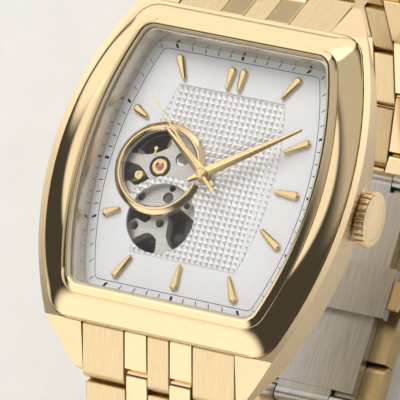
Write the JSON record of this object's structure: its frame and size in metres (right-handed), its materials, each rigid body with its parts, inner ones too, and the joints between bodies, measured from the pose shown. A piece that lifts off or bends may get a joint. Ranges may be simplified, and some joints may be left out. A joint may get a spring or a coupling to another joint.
{
  "type": "wristwatch",
  "caption": "Tonneau skeleton wristwatch with an open-heart dial, automatic movement, crown, hinged link bracelet and butterfly clasp with push buttons.",
  "frame": {"origin": "centre of the case back's outer face, on the hands' axis", "axes": "+Z out of the dial, +Y to 12 o'clock, +X to the crown at 3 o'clock"},
  "size_m": [0.0402, 0.074, 0.0544],
  "materials": {
    "gold": "polished gold plate",
    "brushed_gold": "brushed gold plate",
    "steel": "brushed",
    "brass": "satin",
    "dial": "matt silver",
    "glass": "polished",
    "rubber": "matt",
    "ruby": "polished",
    "spring_blue": "blued",
    "ring": "satin"
  },
  "bodies": {
    "case": {"case_middle": "gold", "bezel": "gold", "crystal": "glass", "gaskets": "rubber", "rehaut_ring": "ring", "dial": "dial", "heart_ring": "gold", "hour_markers": "gold", "case_back": "gold", "back_glass": "glass", "back_screws": "gold", "movement_ring": "steel", "main_plate": "steel", "heart_bridge": "steel", "train_bridges": "steel", "balance_cock": "steel", "jewels": "ruby", "movement_screws": "brass", "end_links": "brushed_gold", "case_fittings": "steel"},
    "hour": {"hour_hand": "gold", "hour_wheel": "brass"},
    "minute": {"minute_hand": "gold", "center_wheel": "brass"},
    "seconds": {"seconds_hand": "gold", "fourth_wheel": "brass"},
    "third": {"third_wheel": "brass"},
    "escape": {"escape_wheel": "steel"},
    "pallets": {"pallet_fork": "steel"},
    "balance": {"balance_wheel": "brass", "hairspring": "spring_blue"},
    "barrel": {"barrel": "brass"},
    "ratchet": {"ratchet_wheel": "steel"},
    "rotor": {"rotor": "steel"},
    "crown_pull": {"crown_gasket": "rubber"},
    "crown": {"crown": "gold", "winding_stem": "steel"},
    "link_12_1": {"link_12_1": "brushed_gold"},
    "link_12_2": {"link_12_2": "brushed_gold"},
    "link_12_3": {"link_12_3": "brushed_gold"},
    "link_12_4": {"link_12_4": "brushed_gold"},
    "link_12_5": {"link_12_5": "brushed_gold"},
    "link_12_6": {"link_12_6": "brushed_gold"},
    "link_12_7": {"link_12_7": "brushed_gold"},
    "link_12_8": {"link_12_8": "brushed_gold"},
    "link_12_9": {"link_12_9": "brushed_gold"},
    "link_6_1": {"link_6_1": "brushed_gold"},
    "link_6_2": {"link_6_2": "brushed_gold"},
    "link_6_3": {"link_6_3": "brushed_gold"},
    "link_6_4": {"link_6_4": "brushed_gold"},
    "link_6_5": {"link_6_5": "brushed_gold"},
    "link_6_6": {"link_6_6": "brushed_gold"},
    "link_6_7": {"link_6_7": "brushed_gold"},
    "link_6_8": {"link_6_8": "brushed_gold"},
    "link_6_9": {"link_6_9": "brushed_gold"},
    "clasp_arm_12": {"clasp_arm_12": "steel"},
    "clasp_arm_6": {"clasp_arm_6": "steel"},
    "clasp_base": {"clasp_base": "steel"},
    "clasp_button_3": {"clasp_button_3": "gold"},
    "clasp_button_9": {"clasp_button_9": "gold"}
  },
  "joints": [
    {"name": "seconds_turn", "type": "hinge", "parent": "case", "child": "seconds", "pos_m": [0, 0, 0.0092], "axis": [0, 0, -1], "continuous": true},
    {"name": "minute_turn", "type": "hinge", "parent": "case", "child": "minute", "pos_m": [0, 0, 0.0092], "axis": [0, 0, -1], "continuous": true},
    {"name": "hour_turn", "type": "hinge", "parent": "case", "child": "hour", "pos_m": [0, 0, 0.0092], "axis": [0, 0, -1], "continuous": true},
    {"name": "third_turn", "type": "hinge", "parent": "case", "child": "third", "pos_m": [0.00129, -0.00483, 0.005], "axis": [0, 0, -1], "continuous": true},
    {"name": "barrel_turn", "type": "hinge", "parent": "case", "child": "barrel", "pos_m": [0.0022, 0.00606, 0.005], "axis": [0, 0, -1], "continuous": true},
    {"name": "escape_turn", "type": "hinge", "parent": "case", "child": "escape", "pos_m": [-0.00432, -0.00157, 0.005], "axis": [0, 0, -1], "continuous": true},
    {"name": "pallet_swing", "type": "hinge", "parent": "case", "child": "pallets", "pos_m": [-0.0056, -0.00075, 0.005], "axis": [0, 0, 1], "range_deg": [-5, 5]},
    {"name": "balance_swing", "type": "hinge", "parent": "case", "child": "balance", "pos_m": [-0.0067, 0.0004, 0.006], "axis": [0, 0, 1], "range_deg": [-135, 135], "stiffness_Nm_per_rad": 0.0000005},
    {"name": "rotor_turn", "type": "hinge", "parent": "case", "child": "rotor", "pos_m": [0, 0, 0.002], "axis": [0, 0, 1], "continuous": true},
    {"name": "crown_pull", "type": "slide", "parent": "case", "child": "crown_pull", "axis": [1, 0, 0], "range_m": [0, 0.001]},
    {"name": "crown_turn", "type": "hinge", "parent": "crown_pull", "child": "crown", "pos_m": [0.019, 0, 0.00505], "axis": [1, 0, 0], "continuous": true},
    {"name": "ratchet_turn", "type": "hinge", "parent": "case", "child": "ratchet", "pos_m": [0.0022, 0.00606, 0.003], "axis": [0, 0, 1], "continuous": true},
    {"name": "row_12_1", "type": "hinge", "parent": "case", "child": "link_12_1", "pos_m": [0, 0.0241, 0.0045], "axis": [-1, 0, 0], "range_deg": [0, 25.6]},
    {"name": "row_12_2", "type": "hinge", "parent": "link_12_1", "child": "link_12_2", "pos_m": [0, 0.03035, -0.00074], "axis": [-1, 0, 0], "range_deg": [-3.5, 0]},
    {"name": "row_12_3", "type": "hinge", "parent": "link_12_2", "child": "link_12_3", "pos_m": [0, 0.03431, -0.00788], "axis": [-1, 0, 0], "range_deg": [-15.4, 0]},
    {"name": "row_12_4", "type": "hinge", "parent": "link_12_3", "child": "link_12_4", "pos_m": [0, 0.03565, -0.01593], "axis": [-1, 0, 0], "range_deg": [-14.9, 0]},
    {"name": "row_12_5", "type": "hinge", "parent": "link_12_4", "child": "link_12_5", "pos_m": [0, 0.03452, -0.02401], "axis": [-1, 0, 0], "range_deg": [-14.9, 0]},
    {"name": "row_12_6", "type": "hinge", "parent": "link_12_5", "child": "link_12_6", "pos_m": [0, 0.03094, -0.03134], "axis": [-1, 0, 0], "range_deg": [-14.9, 0]},
    {"name": "row_12_7", "type": "hinge", "parent": "link_12_6", "child": "link_12_7", "pos_m": [0, 0.02522, -0.03716], "axis": [-1, 0, 0], "range_deg": [-14.9, 0]},
    {"name": "row_12_8", "type": "hinge", "parent": "link_12_7", "child": "link_12_8", "pos_m": [0, 0.01777, -0.04048], "axis": [-1, 0, 0], "range_deg": [-14.9, 0]},
    {"name": "row_12_9", "type": "hinge", "parent": "link_12_8", "child": "link_12_9", "pos_m": [0, 0.00961, -0.04048], "axis": [-1, 0, 0], "range_deg": [0, 25.6]},
    {"name": "arm_12", "type": "hinge", "parent": "link_12_9", "child": "clasp_arm_12", "pos_m": [0, 0.00145, -0.04048], "axis": [-1, 0, 0], "range_deg": [-43.9, 0]},
    {"name": "row_6_1", "type": "hinge", "parent": "case", "child": "link_6_1", "pos_m": [0, -0.0241, 0.0045], "axis": [1, 0, 0], "range_deg": [0, 25.6]},
    {"name": "row_6_2", "type": "hinge", "parent": "link_6_1", "child": "link_6_2", "pos_m": [0, -0.03035, -0.00074], "axis": [1, 0, 0], "range_deg": [-3.5, 0]},
    {"name": "row_6_3", "type": "hinge", "parent": "link_6_2", "child": "link_6_3", "pos_m": [0, -0.03431, -0.00788], "axis": [1, 0, 0], "range_deg": [-15.4, 0]},
    {"name": "row_6_4", "type": "hinge", "parent": "link_6_3", "child": "link_6_4", "pos_m": [0, -0.03565, -0.01593], "axis": [1, 0, 0], "range_deg": [-14.9, 0]},
    {"name": "row_6_5", "type": "hinge", "parent": "link_6_4", "child": "link_6_5", "pos_m": [0, -0.03452, -0.02401], "axis": [1, 0, 0], "range_deg": [-14.9, 0]},
    {"name": "row_6_6", "type": "hinge", "parent": "link_6_5", "child": "link_6_6", "pos_m": [0, -0.03094, -0.03134], "axis": [1, 0, 0], "range_deg": [-14.9, 0]},
    {"name": "row_6_7", "type": "hinge", "parent": "link_6_6", "child": "link_6_7", "pos_m": [0, -0.02522, -0.03716], "axis": [1, 0, 0], "range_deg": [-14.9, 0]},
    {"name": "row_6_8", "type": "hinge", "parent": "link_6_7", "child": "link_6_8", "pos_m": [0, -0.01777, -0.04048], "axis": [1, 0, 0], "range_deg": [-14.9, 0]},
    {"name": "row_6_9", "type": "hinge", "parent": "link_6_8", "child": "link_6_9", "pos_m": [0, -0.00961, -0.04048], "axis": [1, 0, 0], "range_deg": [0, 25.6]},
    {"name": "arm_6", "type": "hinge", "parent": "link_6_9", "child": "clasp_arm_6", "pos_m": [0, -0.00145, -0.04048], "axis": [1, 0, 0], "range_deg": [-43.9, 0]},
    {"name": "clasp_open", "type": "hinge", "parent": "clasp_arm_12", "child": "clasp_base", "pos_m": [0, 0.01465, -0.03803], "axis": [-1, 0, 0], "range_deg": [0, 85]},
    {"name": "button_3", "type": "slide", "parent": "clasp_base", "child": "clasp_button_3", "axis": [-1, 0, 0], "range_m": [0, 0.0007], "stiffness_N_per_m": 200, "springref_m": -0.0005},
    {"name": "button_9", "type": "slide", "parent": "clasp_base", "child": "clasp_button_9", "axis": [1, 0, 0], "range_m": [0, 0.0007], "stiffness_N_per_m": 200, "springref_m": -0.0005}
  ],
  "couplings": [
    {"joint": "minute_turn", "follows": "seconds_turn", "ratio": 0.016667},
    {"joint": "hour_turn", "follows": "seconds_turn", "ratio": 0.0013889},
    {"joint": "third_turn", "follows": "seconds_turn", "ratio": -0.13333},
    {"joint": "barrel_turn", "follows": "seconds_turn", "ratio": -0.0023148},
    {"joint": "escape_turn", "follows": "seconds_turn", "ratio": -9.4286},
    {"joint": "ratchet_turn", "follows": "crown_turn", "ratio": -0.25},
    {"joint": "row_12_1", "follows": "clasp_open", "ratio": 0.3},
    {"joint": "row_12_2", "follows": "clasp_open", "ratio": -0.04},
    {"joint": "row_12_3", "follows": "clasp_open", "ratio": -0.18},
    {"joint": "row_12_4", "follows": "clasp_open", "ratio": -0.173},
    {"joint": "row_12_5", "follows": "clasp_open", "ratio": -0.173},
    {"joint": "row_12_6", "follows": "clasp_open", "ratio": -0.173},
    {"joint": "row_12_7", "follows": "clasp_open", "ratio": -0.173},
    {"joint": "row_12_8", "follows": "clasp_open", "ratio": -0.173},
    {"joint": "row_12_9", "follows": "clasp_open", "ratio": 0.3},
    {"joint": "arm_12", "follows": "clasp_open", "ratio": -0.515},
    {"joint": "row_6_1", "follows": "clasp_open", "ratio": 0.3},
    {"joint": "row_6_2", "follows": "clasp_open", "ratio": -0.04},
    {"joint": "row_6_3", "follows": "clasp_open", "ratio": -0.18},
    {"joint": "row_6_4", "follows": "clasp_open", "ratio": -0.173},
    {"joint": "row_6_5", "follows": "clasp_open", "ratio": -0.173},
    {"joint": "row_6_6", "follows": "clasp_open", "ratio": -0.173},
    {"joint": "row_6_7", "follows": "clasp_open", "ratio": -0.173},
    {"joint": "row_6_8", "follows": "clasp_open", "ratio": -0.173},
    {"joint": "row_6_9", "follows": "clasp_open", "ratio": 0.3},
    {"joint": "arm_6", "follows": "clasp_open", "ratio": -0.515}
  ]
}
